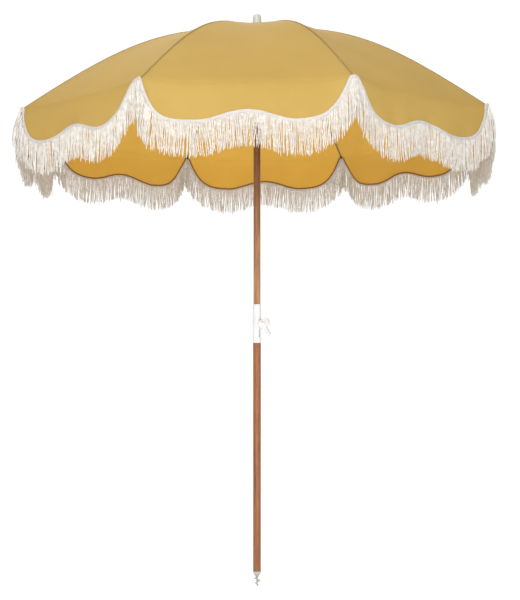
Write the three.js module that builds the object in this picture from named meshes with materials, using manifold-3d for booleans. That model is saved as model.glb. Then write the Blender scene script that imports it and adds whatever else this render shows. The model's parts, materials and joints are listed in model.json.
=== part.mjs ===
// Fringed beach umbrella: a two-piece pole with a clamp collar and a sand auger, and an eight-rib canopy.
// Millimetres, +Z up along the pole, origin on the pole's axis at the auger's tip. The front faces -Y.
import * as THREE from 'three';
import { mergeVertices } from 'three/addons/utils/BufferGeometryUtils.js';
import Module from 'manifold-3d';

const wasm = await Module();
wasm.setup();

// ---- Driving dimensions ----------------------------------------------------------------------
const GAP = 0.35; // between pieces that touch
const RIBS = 8;
const STEP = (2 * Math.PI) / RIBS;
const FIRST_RIB = -3 * Math.PI / 8; // right of the front panel, measured from +X
const HALF = STEP / 2;

const tip = { r: 950, z: 1870 }; // circle through the rib tips
const crown = { rise: 384, bend: 430, soft: 159 }; // dome above the tips, where the ribs bend most, how softly
const sag = 10; // dip of the cloth between two ribs
const cloth = { thick: 1.2, inner: 11 };
const hem = { lobe: 145.5, crest: 36, cusp: 0.078, crestHalf: 0.24, lean: 20, overlap: 11 };
const fringe = { length: 123, thick: 3 };

const radii = [90, 190, 280, 360, 440, 520, 610, 720, 840]; // stations along a rib, closest where it bends
const rib = { rad: 2.3, pivot: 30, end: 941, below: 6.4 };
const tipCap = { rad: 3.9, from: 934, to: 948.4 };
const joint = { r: 427.5, drop: 9, plate: 4, fork: 9.6 }; // where a stretcher meets its rib
const strut = { rad: 2.2, pivot: 33, tail: 2.5 };

const lowerPole = { rad: 15.75, bore: 14.35, from: 63, to: 1040 };
const upperPole = { rad: 14, bore: 12.4, from: 640 };
const collar = { from: 986, seam: 1079, to: 1142.5, rad: 17.25 };
const knob = { z: 1062, heading: -35 * Math.PI / 180 };
const screw = { rad: 4, from: 14.6, to: 40 };
const hub = { rad: 38, height: 40, slotFrom: 24.5, slotWide: 6.6, slotDeep: 36, hole: 8 };
const runner = { z: 1951, bore: 14.5, rad: 20, flange: 38, slotFrom: 27.5, slotWide: 6, above: 12, flangeBelow: 12, below: 75 };
const key = { width: 5.5, nose: 17.1, root: 10.5, height: 24, heading: Math.PI / 2 };
const finialTop = 2318;
const augerRad = 18.5;

const colours = {
  cloth: 0xd7b669, fringe: 0xefece4, wood: 0xb07a4e, plastic: 0xf2f2f3, steel: 0x8d9094, dark: 0x3c3936,
};
const finish = {
  cloth: { color: colours.cloth, roughness: 0.9, metalness: 0 },
  fringe: { color: colours.fringe, roughness: 0.95, metalness: 0 },
  wood: { color: colours.wood, roughness: 0.45, metalness: 0 },
  plastic: { color: colours.plastic, roughness: 0.4, metalness: 0 },
  steel: { color: colours.steel, roughness: 0.35, metalness: 1 },
  dark: { color: colours.dark, roughness: 0.5, metalness: 0 },
};

// ---- Canopy shape ----------------------------------------------------------------------------
// A rib is nearly level at the crown, bends over around crown.bend and runs almost straight to its tip.
const bendCurve = (r) => crown.soft * Math.log1p(Math.exp((r - crown.bend) / crown.soft));
const ribSlope = crown.rise / (bendCurve(tip.r) - bendCurve(0));
const domeZ = (r) => tip.z + crown.rise - ribSlope * (bendCurve(r) - bendCurve(0));

// A point of the cloth in a rib's own frame: +X along the rib, s from -0.5 to 0.5 across to the next ribs.
function clothPoint(r, s) {
  const t = Math.abs(s);
  const x = r - t * r * (1 - Math.cos(STEP));
  const y = Math.sign(s) * t * r * Math.sin(STEP);
  const dip = 4 * sag * t * (1 - t) * Math.pow(Math.sin((Math.PI * r) / tip.r), 2);
  return new THREE.Vector3(x, y, domeZ(r) - dip);
}

// How far the scalloped hem hangs below the rib tips at s: two lobes and a low crest between two ribs.
function hemDrop(s) {
  const t = Math.abs(s);
  const lobe = hem.lobe * (1 - Math.exp(-Math.pow(t / hem.cusp, 1.2)));
  const fromMiddle = Math.min((0.5 - t) / hem.crestHalf, 1);
  return lobe - (hem.crest / 2) * (1 + Math.cos(Math.PI * fromMiddle));
}

// Outward direction of the skirt at s, in the rib's frame; at the rib itself it splits the corner.
function outward(s) {
  const turn = Math.sign(s) * HALF;
  return new THREE.Vector3(Math.cos(turn), Math.sin(turn), 0);
}

// ---- Solids ----------------------------------------------------------------------------------
function toSolid(geometry) {
  const bare = geometry.clone();
  for (const name of ['normal', 'uv']) bare.deleteAttribute(name);
  const merged = mergeVertices(bare, 1e-4);
  const vertProperties = new Float32Array(merged.attributes.position.array);
  const triVerts = new Uint32Array(merged.index.array);
  return new wasm.Manifold(new wasm.Mesh({ numProp: 3, vertProperties, triVerts }));
}

function toGeometry(solid) {
  const mesh = solid.getMesh();
  const geometry = new THREE.BufferGeometry();
  geometry.setAttribute('position', new THREE.BufferAttribute(new Float32Array(mesh.vertProperties), 3));
  geometry.setIndex(new THREE.BufferAttribute(new Uint32Array(mesh.triVerts), 1));
  geometry.computeVertexNormals();
  return geometry;
}

const join = (...all) => toGeometry(all.map(toSolid).reduce((sum, next) => sum.add(next)));
const cut = (body, ...tools) => toGeometry(tools.map(toSolid).reduce((rest, t) => rest.subtract(t), toSolid(body)));

// A closed sheet between an outer face(i, j) and an inner face(i, j) of rows x columns points.
function slab(rows, columns, outer, inner) {
  const points = [];
  for (const face of [outer, inner]) {
    for (let i = 0; i <= rows; i++) {
      for (let j = 0; j <= columns; j++) points.push(...face(i, j).toArray());
    }
  }
  const at = (side, i, j) => side * (rows + 1) * (columns + 1) + i * (columns + 1) + j;
  const index = [];
  const quad = (a, b, c, d) => index.push(a, b, c, a, c, d);
  for (let i = 0; i < rows; i++) {
    for (let j = 0; j < columns; j++) {
      quad(at(0, i, j), at(0, i + 1, j), at(0, i + 1, j + 1), at(0, i, j + 1));
      quad(at(1, i, j), at(1, i, j + 1), at(1, i + 1, j + 1), at(1, i + 1, j));
    }
    quad(at(0, i, 0), at(1, i, 0), at(1, i + 1, 0), at(0, i + 1, 0));
    quad(at(0, i, columns), at(0, i + 1, columns), at(1, i + 1, columns), at(1, i, columns));
  }
  for (let j = 0; j < columns; j++) {
    quad(at(0, 0, j), at(0, 0, j + 1), at(1, 0, j + 1), at(1, 0, j));
    quad(at(0, rows, j), at(1, rows, j), at(1, rows, j + 1), at(0, rows, j + 1));
  }
  const geometry = new THREE.BufferGeometry();
  geometry.setAttribute('position', new THREE.Float32BufferAttribute(points, 3));
  geometry.setIndex(index);
  geometry.computeVertexNormals();
  return geometry;
}

// Profile points are [radius, z]; the solid turns about +Z.
function lathe(profile, segments = 24) {
  const points = profile.map(([r, z]) => new THREE.Vector2(r, z));
  return new THREE.LatheGeometry(points, segments).rotateX(Math.PI / 2);
}

function tube(rad, bore, from, to, segments = 24) {
  return lathe([[bore, from], [rad, from], [rad, to], [bore, to], [bore, from]], segments);
}

function rod(points, rad, steps, sides = 8) {
  const path = new THREE.CatmullRomCurve3(points);
  const section = new THREE.Shape().absarc(0, 0, rad, 0, 2 * Math.PI);
  return new THREE.ExtrudeGeometry(section, { extrudePath: path, steps, curveSegments: sides / 2 });
}

const box = (x, y, z, centre) => new THREE.BoxGeometry(x, y, z).translate(...centre);

// A pin or boss along local +X, from one radius to another.
function crossPin(rad, from, to, z, segments = 16) {
  return new THREE.CylinderGeometry(rad, rad, to - from, segments).rotateZ(Math.PI / 2)
    .translate((from + to) / 2, 0, z);
}

function mesh(name, geometry, look) {
  const made = new THREE.Mesh(geometry, new THREE.MeshStandardMaterial(look));
  made.name = name;
  return made;
}

// ---- Pole and clamp --------------------------------------------------------------------------
function sandAuger() {
  const body = lathe([
    [0, 0], [1.6, 3], [3.6, 30], [5.5, 40], [9, 45], [15.4, 56], [15.9, 59], [15.9, lowerPole.from - GAP],
    [lowerPole.bore - GAP, lowerPole.from - GAP], [lowerPole.bore - GAP, 92], [0, 92],
  ], 16);
  const turns = 1.75;
  const steps = 24;
  const flight = (side) => (i, j) => {
    const share = i / steps;
    const angle = share * turns * 2 * Math.PI;
    const reach = j === 0 ? 1.5 : 6 + (augerRad - 6) * Math.pow(share, 0.6);
    const z = 5 + 34 * share + side * (j === 0 ? 1.8 : 0.7);
    return new THREE.Vector3(reach * Math.cos(angle), reach * Math.sin(angle), z);
  };
  return join(body, slab(steps, 1, flight(-1), flight(1)));
}

function collarClamp() {
  const inside = lowerPole.rad + GAP;
  const shoulder = lowerPole.to + 1;
  const body = lathe([
    [inside, collar.from], [collar.rad - 0.8, collar.from], [collar.rad, collar.from + 1.5],
    [collar.rad, collar.seam - 1], [collar.rad - 0.6, collar.seam], [upperPole.rad + GAP, collar.seam],
    [upperPole.rad + GAP, shoulder], [inside, shoulder], [inside, collar.from],
  ], 24);
  const boss = crossPin(14.5, 8, 20.2, knob.z, 20).rotateZ(knob.heading);
  const bore = tube(inside, 1, collar.from - 1, shoulder, 24);
  const throat = tube(upperPole.rad + GAP, 1, shoulder - 1, collar.seam + 3, 24);
  const hole = crossPin(screw.rad + GAP, 10, 30, knob.z).rotateZ(knob.heading);
  return cut(join(body, boss), hole, bore, throat);
}

function collarSleeve() {
  const bore = upperPole.rad + GAP;
  return lathe([
    [bore, collar.seam + GAP], [collar.rad - 0.6, collar.seam + GAP], [collar.rad - 0.1, collar.seam + 2],
    [collar.rad - 0.1, collar.to - 6], [collar.rad - 1.2, collar.to], [bore, collar.to], [bore, collar.seam + GAP],
  ], 24);
}

// A wing knob: a flanged boss on the screw, a round wing level with it and a long narrow wing below.
function clampKnob() {
  const bore = screw.rad + GAP;
  const boss = lathe([[bore, 0], [17.5, 0], [18.5, 1.5], [18.5, 3.5], [12, 9], [9.5, 24], [bore, 24], [bore, 0]], 24)
    .rotateY(Math.PI / 2).translate(20.6, 0, 0);
  const cap = crossPin(9, 42, 46, 0, 20);
  const plate = (shape) => new THREE.ExtrudeGeometry(shape, { depth: 9, bevelEnabled: false, curveSegments: 12 })
    .translate(0, 0, -4.5).rotateX(Math.PI / 2);
  const round = plate(new THREE.Shape().absarc(0, 0, 18.5, 0, 2 * Math.PI)).translate(44, 0, 4.5);
  const tongue = new THREE.Shape();
  tongue.absarc(0, 0, 8.5, -Math.PI / 2, Math.PI / 2);
  tongue.absarc(-34, 0, 9.5, Math.PI / 2, 3 * Math.PI / 2);
  const narrow = plate(tongue).rotateY(51 * Math.PI / 180).translate(59, 0, -40);
  const stem = crossPin(bore, 15, 40.6, 0);
  const made = cut(join(boss, cap, round, narrow), stem);
  return made.translate(0, 0, knob.z).rotateZ(knob.heading);
}

function upperTube() {
  const slot = box(6, key.width + 0.7, key.height + 0.7, [13.2, 0, catchZ]).rotateZ(key.heading);
  return cut(tube(upperPole.rad, upperPole.bore, upperPole.from, hubTop - 8), slot);
}

// ---- Crown, runner and catch -----------------------------------------------------------------
const hubTop = clothPoint(hub.rad, 0.5).z - cloth.thick - 2 * GAP;
const catchZ = runner.z - runner.below - key.height / 2 - GAP;

function radialSlots(from, to, wide, low, high) {
  return Array.from({ length: RIBS }, (_, i) =>
    box(to - from, wide, high - low, [(from + to) / 2, 0, (low + high) / 2]).rotateZ(FIRST_RIB + i * STEP));
}

function crownHub() {
  const bore = upperPole.rad + GAP;
  const low = hubTop - hub.height;
  const body = lathe([
    [bore, low], [hub.rad - 8, low], [hub.rad, low + 8], [hub.rad, hubTop - 1.5], [hub.rad - 1.5, hubTop],
    [hub.hole, hubTop], [hub.hole, hubTop - 7], [bore, hubTop - 7], [bore, low],
  ], 32);
  return cut(body, ...radialSlots(hub.slotFrom, hub.rad + 4, hub.slotWide, hubTop - hub.slotDeep, hubTop + 2));
}

function finial() {
  const base = domeZ(0) + GAP;
  const tall = finialTop - base;
  return lathe([
    [0, hubTop - 30], [hub.hole - GAP, hubTop - 30], [hub.hole - GAP, base], [21, base], [21.5, base + 3],
    [18.5, base + 9], [17.6, base + 0.45 * tall], [16.2, base + 0.8 * tall], [13, base + 0.92 * tall],
    [6, base + 0.95 * tall], [5, base + 0.985 * tall], [0, finialTop],
  ], 20);
}

function runnerBody() {
  const top = runner.z + runner.above;
  const low = runner.z - runner.flangeBelow;
  const body = lathe([
    [runner.bore, runner.z - runner.below], [runner.rad, runner.z - runner.below], [runner.rad, low - 10],
    [runner.flange - 5, low], [runner.flange, low + 3], [runner.flange, top - 3], [runner.flange - 3, top],
    [runner.bore, top], [runner.bore, runner.z - runner.below],
  ], 32);
  const slots = radialSlots(runner.slotFrom, runner.flange + 4, runner.slotWide, low - 12, top + 2);
  const keyway = box(6, key.width + 1, 200, [14.8, 0, runner.z]).rotateZ(key.heading);
  return cut(body, ...slots, keyway);
}

// The sprung catch below the open runner: a square shoulder on top, a ramp below it.
function runnerCatch() {
  const half = key.height / 2;
  const shape = new THREE.Shape();
  shape.moveTo(key.root, -half);
  shape.lineTo(upperPole.bore + 1, -half);
  shape.lineTo(key.nose, half - 5);
  shape.lineTo(key.nose, half);
  shape.lineTo(key.root, half);
  const body = new THREE.ExtrudeGeometry(shape, { depth: key.width, bevelEnabled: false });
  return body.rotateX(Math.PI / 2).translate(0, key.width / 2, catchZ).rotateZ(key.heading);
}

// ---- Ribs and stretchers, in a rib's own frame -----------------------------------------------
const ribPoint = (r) => new THREE.Vector3(r, 0, domeZ(r) - rib.below);
const elbow = { x: joint.r, z: domeZ(joint.r) - rib.below - joint.drop };

function ribRod() {
  const bar = rod([rib.pivot - 3.5, ...radii, rib.end].map(ribPoint), rib.rad, 14, 6);
  const plate = box(12, joint.plate, joint.drop + 4, [elbow.x, 0, elbow.z + joint.drop / 2 - 3]);
  return join(bar, plate);
}

function ribCap() {
  const rad = tipCap.rad;
  const long = tipCap.to - tipCap.from;
  const bore = rib.rad + GAP;
  const body = lathe([[bore, 0], [rad - 0.6, 0], [rad, 1.5], [rad, long - 2.5], [rad - 1.6, long], [0, long],
    [0, 9], [bore, 9], [bore, 0]], 8);
  const slope = Math.atan2(domeZ(tipCap.from) - domeZ(rib.end), rib.end - tipCap.from);
  const start = ribPoint(tipCap.from);
  return body.rotateY(Math.PI / 2 + slope).translate(start.x, 0, start.z);
}

// A rod from the runner up to the rib, ending in a fork that straddles the rib's plate.
function stretcher() {
  const foot = new THREE.Vector3(strut.pivot, 0, runner.z);
  const head = new THREE.Vector3(elbow.x, 0, elbow.z);
  const along = head.clone().sub(foot).normalize();
  const tail = foot.clone().addScaledVector(along, -strut.tail);
  const neck = head.clone().addScaledVector(along, -11);
  const bar = rod([tail, neck], strut.rad, 1);
  const lift = Math.atan2(along.z, along.x);
  const place = (geometry) => geometry.rotateY(-lift).translate(head.x, 0, head.z);
  const fork = place(box(20, joint.fork, 7, [-6.5, 0, 0]));
  const mouth = place(box(16, joint.plate + 0.8, 12, [-0.5, 0, 0]));
  return join(bar, cut(fork, mouth));
}

// ---- Cloth, in a rib's own frame: half of each panel beside the rib ---------------------------
const across = (j, columns) => j / columns - 0.5;

function inset(point, s) {
  const share = Math.abs(s) * 2;
  const edge = new THREE.Vector3(Math.sin(HALF), -Math.sign(s) * Math.cos(HALF), 0);
  return point.addScaledVector(edge, share * GAP / 2);
}

function canopyPanel() {
  const columns = 6;
  const rows = [cloth.inner, ...radii, tip.r];
  const face = (drop) => (i, j) => {
    const s = across(j, columns);
    const point = inset(clothPoint(rows[i], s), s);
    point.z -= drop;
    return point;
  };
  return slab(rows.length - 1, columns, face(0), face(cloth.thick));
}

// One upright band of the skirt, through a list of depths below the rib tips, standing out by a distance.
function skirt(columns, depths, near, far) {
  const face = (stand) => (i, j) => {
    const s = across(j, columns);
    const deep = depths[i](s);
    const point = inset(clothPoint(tip.r, s), s);
    point.addScaledVector(outward(s), stand + hem.lean * Math.min(deep / (hem.lobe + hem.overlap), 1));
    point.z = tip.z - deep;
    return point;
  };
  return slab(depths.length - 1, columns, face(far), face(near));
}

const skirtTop = cloth.thick + GAP;
const hemEdge = (s) => hemDrop(s) + hem.overlap;
const strandEnd = (s) => hemDrop(s) + fringe.length;
const valance = () => skirt(16, [() => skirtTop, hemEdge], 0, cloth.thick);
const fringeBand = () => skirt(16, [(s) => hemDrop(s) + skirtTop, hemEdge, strandEnd],
  cloth.thick + GAP, cloth.thick + GAP + fringe.thick);

// ---- Assembly --------------------------------------------------------------------------------
const umbrella = new THREE.Group();
umbrella.add(
  mesh('lower_pole', tube(lowerPole.rad, lowerPole.bore, lowerPole.from, lowerPole.to), finish.wood),
  mesh('sand_auger', sandAuger(), finish.plastic),
  mesh('collar_clamp', collarClamp(), finish.plastic),
  mesh('collar_sleeve', collarSleeve(), finish.plastic),
  mesh('clamp_screw', crossPin(screw.rad, screw.from, screw.to, knob.z).rotateZ(knob.heading), finish.steel),
  mesh('clamp_knob', clampKnob(), finish.plastic),
  mesh('upper_pole', upperTube(), finish.wood),
  mesh('runner_catch', runnerCatch(), finish.steel),
  mesh('runner', runnerBody(), finish.plastic),
  mesh('crown_hub', crownHub(), finish.plastic),
  mesh('finial', finial(), finish.plastic),
);

const perRib = [
  ['rib', ribRod, finish.steel],
  ['rib_cap', ribCap, finish.dark],
  ['stretcher', stretcher, finish.steel],
  ['canopy', canopyPanel, finish.cloth],
  ['valance', valance, finish.cloth],
  ['fringe', fringeBand, finish.fringe],
];
for (let i = 0; i < RIBS; i++) {
  const spoke = new THREE.Group();
  spoke.rotation.z = FIRST_RIB + i * STEP;
  for (const [name, make, look] of perRib) spoke.add(mesh(`${name}_${i + 1}`, make(), look));
  umbrella.add(spoke);
}

export default umbrella;
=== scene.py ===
"""Fringed beach umbrella: a scalloped canvas canopy on eight steel ribs, cotton fringe, wooden pole.

Everything is in metres, in the CAD frame: +Z up along the pole, origin at the auger's tip, front at -Y.
"""
import json
import math

import bmesh
import bpy
import numpy as np
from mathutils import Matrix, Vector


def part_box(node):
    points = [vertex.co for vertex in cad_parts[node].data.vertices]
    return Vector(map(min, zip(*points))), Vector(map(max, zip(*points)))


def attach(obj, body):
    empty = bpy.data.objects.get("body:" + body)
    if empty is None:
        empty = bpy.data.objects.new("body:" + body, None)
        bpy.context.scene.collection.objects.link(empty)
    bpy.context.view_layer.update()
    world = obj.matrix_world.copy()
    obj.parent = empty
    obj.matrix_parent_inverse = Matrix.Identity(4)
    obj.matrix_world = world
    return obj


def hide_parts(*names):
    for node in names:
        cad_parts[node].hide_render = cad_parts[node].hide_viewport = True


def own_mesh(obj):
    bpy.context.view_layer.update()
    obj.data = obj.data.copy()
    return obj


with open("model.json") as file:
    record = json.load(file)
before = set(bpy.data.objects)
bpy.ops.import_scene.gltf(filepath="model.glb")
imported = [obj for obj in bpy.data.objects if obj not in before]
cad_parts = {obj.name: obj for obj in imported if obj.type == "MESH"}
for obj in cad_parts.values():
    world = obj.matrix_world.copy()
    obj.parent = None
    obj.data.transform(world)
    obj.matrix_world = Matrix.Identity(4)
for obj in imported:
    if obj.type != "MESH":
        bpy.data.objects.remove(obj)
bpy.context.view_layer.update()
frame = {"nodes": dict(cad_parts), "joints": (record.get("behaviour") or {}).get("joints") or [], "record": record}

# ---- Dimensions: the frame gives the places, and these repeat the canopy's shape ------------------
MM = 0.001
RIBS = 8
STEP = math.tau / RIBS
HALF = STEP / 2
Z_UP = np.array([0.0, 0.0, 1.0])

JOINTS = {j["name"]: j for j in frame["joints"]}
CLOTH = 1.2 * MM            # the CAD cloth's thickness
TIP_R = math.hypot(*JOINTS["skirt_swing_1"]["pos_m"][:2])
TIP_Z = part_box("canopy_1")[0][2] + CLOTH
CROWN_RISE = 384 * MM
BEND_R = 430 * MM           # where a rib bends most
BEND_SOFT = 159 * MM        # and how gently
SAG = 10 * MM               # dip of the cloth between two ribs
CLOTH_INNER = 9 * MM        # radius at which the cloth begins, under the finial
CHORD = 2 * TIP_R * math.sin(HALF)

HEM_LOBE = 145.5 * MM       # depth of the skirt beside its middle crest
HEM_CREST = 36 * MM         # how far the hem rises again there
HEM_CREST_HALF = 0.24       # half of the crest's width, as a share of the chord
HEM_LEAN = 20 * MM          # how far the skirt stands out below the edge
FAR_BAYS = (2, 3, 4)
FAR_LENGTH = 0.94           # the far skirt and its cords hang this much as deep as the near ones
EDGE_ROUND = 16 * MM        # how far the cloth rolls down before its edge, between two ribs
CANVAS_THICK = 0.6 * MM
ARC_PER_RADIUS = 1.08       # the dome's length along a rib, for its length in plan

RIB_RAD = 2.3 * MM
RIB_BELOW = 6.4 * MM        # from the cloth's face to the rib's middle


def bend_curve(r):
    return BEND_SOFT * np.log1p(np.exp((r - BEND_R) / BEND_SOFT))


RIB_SLOPE = CROWN_RISE / (bend_curve(TIP_R) - bend_curve(0.0))


def dome_z(r):
    return TIP_Z + CROWN_RISE - RIB_SLOPE * (bend_curve(r) - bend_curve(0.0))


def hem_drop(t, shift, cusp):
    """How far the hem hangs below the rib tips, t of the way along the chord from a rib tip to the middle.

    The fringe arches over the rib tip: shift is the arch's half width and cusp how gently it falls, as
    shares of the chord.
    """
    lobe = HEM_LOBE * (1 - np.exp(-(np.maximum(t - shift, 0) / cusp) ** 1.2))
    from_middle = np.minimum((0.5 - t) / HEM_CREST_HALF, 1)
    return lobe - HEM_CREST / 2 * (1 + np.cos(math.pi * from_middle))


def smooth(x, low, high):
    share = np.clip((x - low) / (high - low), 0, 1)
    return share * share * (3 - 2 * share)


# ---- Meshes ---------------------------------------------------------------------------------------
def mesh_object(name, verts, faces, normals=None, uvs=None):
    """A smooth mesh piece. normals are one per vertex, and uvs one pair per vertex."""
    mesh = bpy.data.meshes.new(name)
    faces = faces if isinstance(faces, list) else faces.tolist()
    mesh.from_pydata(np.asarray(verts, float).tolist(), [], faces)
    mesh.update()
    mesh.shade_smooth()
    if uvs is not None:
        corners = np.zeros(len(mesh.loops), np.int32)
        mesh.loops.foreach_get("vertex_index", corners)
        layer = mesh.uv_layers.new(name="UVMap")
        layer.data.foreach_set("uv", np.asarray(uvs, np.float32)[corners].ravel())
    if normals is not None:
        mesh.normals_split_custom_set_from_vertices(np.asarray(normals, float).tolist())
    piece = bpy.data.objects.new(name, mesh)
    bpy.context.scene.collection.objects.link(piece)
    return piece


def grid_quads(rows, cols, start=0, wrap=False, flip=False):
    """Faces of a rows x cols grid of points; with wrap, the last column joins the first."""
    i, j = np.meshgrid(np.arange(rows - 1), np.arange(cols if wrap else cols - 1), indexing="ij")
    a = start + i * cols + j
    b = start + i * cols + (j + 1) % cols
    quads = np.stack([a, b, b + cols, a + cols], -1).reshape(-1, 4)
    return quads[:, ::-1] if flip else quads


def tube_faces(rows, cols, start=0):
    """Faces of a closed tube: rows rings of cols points each, and a cap at either end."""
    last = start + (rows - 1) * cols
    caps = [list(range(start, start + cols))[::-1], list(range(last, last + cols))]
    return grid_quads(rows, cols, start, wrap=True).tolist() + caps


def rim_quads(rows, cols):
    """Faces between the edges of two rows x cols grids of points, the second listed after the first."""
    count = rows * cols
    ring = np.concatenate([
        np.arange(cols), np.arange(1, rows) * cols + cols - 1,
        (rows - 1) * cols + np.arange(cols - 2, -1, -1), np.arange(rows - 2, 0, -1) * cols,
    ])
    after = np.roll(ring, -1)
    return np.stack([ring, after, after + count, ring + count], -1)


def shell(name, points, normals, uvs):
    """A thin closed sheet of canvas: points is rows x cols x 3 on its outer face.

    Its inner face has the second material: a lighter, more golden copy of the canvas, painted light that stands
    for the glow coming through the cloth and bouncing under the canopy.
    """
    rows, cols = points.shape[:2]
    outer, out_n = points.reshape(-1, 3), normals.reshape(-1, 3)
    verts = np.concatenate([outer, outer - out_n * CANVAS_THICK])
    front = grid_quads(rows, cols)
    back = grid_quads(rows, cols, len(outer), flip=True)
    faces = np.concatenate([front, back, rim_quads(rows, cols)[:, ::-1]])
    inside = np.zeros(len(faces), np.int32)
    inside[len(front):len(front) + len(back)] = 1
    corners = verts[front]
    facing = np.cross(corners[:, 2] - corners[:, 0], corners[:, 3] - corners[:, 1])
    if np.sum(facing * out_n[front[:, 0]]) < 0:
        faces = faces[:, ::-1]
    both_uvs = np.tile(uvs.reshape(-1, 2), (2, 1))
    piece = mesh_object(name, verts, faces, np.concatenate([out_n, -out_n]), both_uvs)
    for material in (CANVAS, CANVAS_INSIDE_PAINTED_GLOW):
        piece.data.materials.append(material)
    piece.data.polygons.foreach_set("material_index", inside)
    return piece


def frames_along(path):
    """Unit side and up at each point of a path, carried along without twisting."""
    tangent = np.gradient(path, axis=0)
    tangent /= np.linalg.norm(tangent, axis=1, keepdims=True)
    side = np.cross(tangent[0], Z_UP)
    if np.linalg.norm(side) < 1e-6:
        side = np.array([1.0, 0.0, 0.0])
    sides = []
    for t in tangent:
        side = side - t * np.dot(side, t)
        side = side / np.linalg.norm(side)
        sides.append(side)
    sides = np.array(sides)
    return sides, np.cross(sides, tangent)


def sweep(name, path, outline):
    """A closed tube: outline is points (side, up) carried along path."""
    side, up = frames_along(path)
    verts = path[:, None] + outline[:, :1] * side[:, None] + outline[:, 1:] * up[:, None]
    piece = mesh_object(name, verts.reshape(-1, 3), tube_faces(*verts.shape[:2]))
    tidy_normals(piece)
    return piece


def circle(rad, points):
    turn = np.arange(points) * math.tau / points
    return np.stack([rad * np.cos(turn), rad * np.sin(turn)], -1)


def tidy_normals(piece, sharp=40):
    """Faces out, and edges sharper than sharp degrees shaded as edges."""
    bm = bmesh.new()
    bm.from_mesh(piece.data)
    bmesh.ops.recalc_face_normals(bm, faces=bm.faces)
    limit = math.radians(sharp)
    for edge in bm.edges:
        edge.smooth = not edge.is_manifold or edge.calc_face_angle(0.0) < limit
    bm.to_mesh(piece.data)
    bm.free()


def lathe(name, profile, sides=96, closed=True, sharp=40):
    """A solid of turning about Z. profile is (radius, z) points.

    With closed, its last point is joined to its first.
    """
    profile = np.asarray(profile, float)
    turn = np.arange(sides) * math.tau / sides
    verts = np.stack([profile[:, None, 0] * np.cos(turn), profile[:, None, 0] * np.sin(turn),
                      np.repeat(profile[:, 1:], sides, 1)], -1)
    faces = grid_quads(len(profile), sides, wrap=True).tolist()
    if closed:
        last = (len(profile) - 1) * sides
        faces += [[last + j, last + (j + 1) % sides, (j + 1) % sides, j] for j in range(sides)]
    piece = mesh_object(name, verts.reshape(-1, 3), faces)
    weld(piece)
    tidy_normals(piece, sharp)
    return piece


def weld(piece, gap=1e-6):
    """Joins points that are closer than gap."""
    bm = bmesh.new()
    bm.from_mesh(piece.data)
    bmesh.ops.remove_doubles(bm, verts=bm.verts, dist=gap)
    bm.to_mesh(piece.data)
    bm.free()


def rounded(points, rad=0.6 * MM, steps=3):
    """A profile with each of its inner corners rounded."""
    points = [np.array(p, float) for p in points]
    out = [points[0]]
    for before, corner, after in zip(points, points[1:], points[2:]):
        back, ahead = before - corner, after - corner
        reach = min(rad, np.linalg.norm(back) / 2.1, np.linalg.norm(ahead) / 2.1)
        start = corner + back / max(np.linalg.norm(back), 1e-9) * reach
        end = corner + ahead / max(np.linalg.norm(ahead), 1e-9) * reach
        for k in range(steps + 1):
            t = k / steps
            out.append((1 - t) ** 2 * start + 2 * t * (1 - t) * corner + t * t * end)
    out.append(points[-1])
    return np.array(out)


# ---- Materials ------------------------------------------------------------------------------------
HEIGHT_RAMP_TOP = 2.5             # height at which the wood's darkening ramp ends; on the upper pole that ramp is painted shade


def new_material(name, colour, roughness, **sockets):
    """A node material with a Principled shader; sockets are more of its inputs, by name."""
    mat = bpy.data.materials.new(name)
    mat.use_nodes = True
    shader = mat.node_tree.nodes["Principled BSDF"]
    shader.inputs["Base Color"].default_value = (*colour, 1)
    shader.inputs["Roughness"].default_value = roughness
    for key, value in sockets.items():
        shader.inputs[key.replace("_", " ")].default_value = value
    return mat, mat.node_tree, shader


def node(tree, kind, **settings):
    made = tree.nodes.new(kind)
    for key, value in settings.items():
        if key in made.inputs:
            made.inputs[key].default_value = value
        elif hasattr(made, key):
            setattr(made, key, value)
        else:
            made.inputs[key.replace("_", " ")].default_value = value
    return made


def ramp(tree, source, stops):
    made = tree.nodes.new("ShaderNodeValToRGB")
    elements = made.color_ramp.elements
    while len(elements) < len(stops):
        elements.new(0.5)
    for element, (place, colour) in zip(elements, stops):
        element.position = place
        element.color = (*colour, 1)
    tree.links.new(source, made.inputs["Fac"])
    return made.outputs["Color"]


def bump(tree, shader, height, strength, distance):
    made = node(tree, "ShaderNodeBump", Strength=strength, Distance=distance)
    tree.links.new(height, made.inputs["Height"])
    tree.links.new(made.outputs["Normal"], shader.inputs["Normal"])


def weave(tree, scale):
    """Height of a plain weave on the UV map, whose units are metres: threads over and under each other."""
    uv = node(tree, "ShaderNodeUVMap")
    waves = []
    for direction in ("X", "Y"):
        wave = node(tree, "ShaderNodeTexWave", wave_type="BANDS", bands_direction=direction,
                    wave_profile="SIN", Scale=scale, Distortion=0.0)
        tree.links.new(uv.outputs["UV"], wave.inputs["Vector"])
        waves.append(wave.outputs["Fac"])
    mixed = node(tree, "ShaderNodeMath", operation="MULTIPLY")
    for k, wave in enumerate(waves):
        tree.links.new(wave, mixed.inputs[k])
    return mixed.outputs["Value"]


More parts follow.
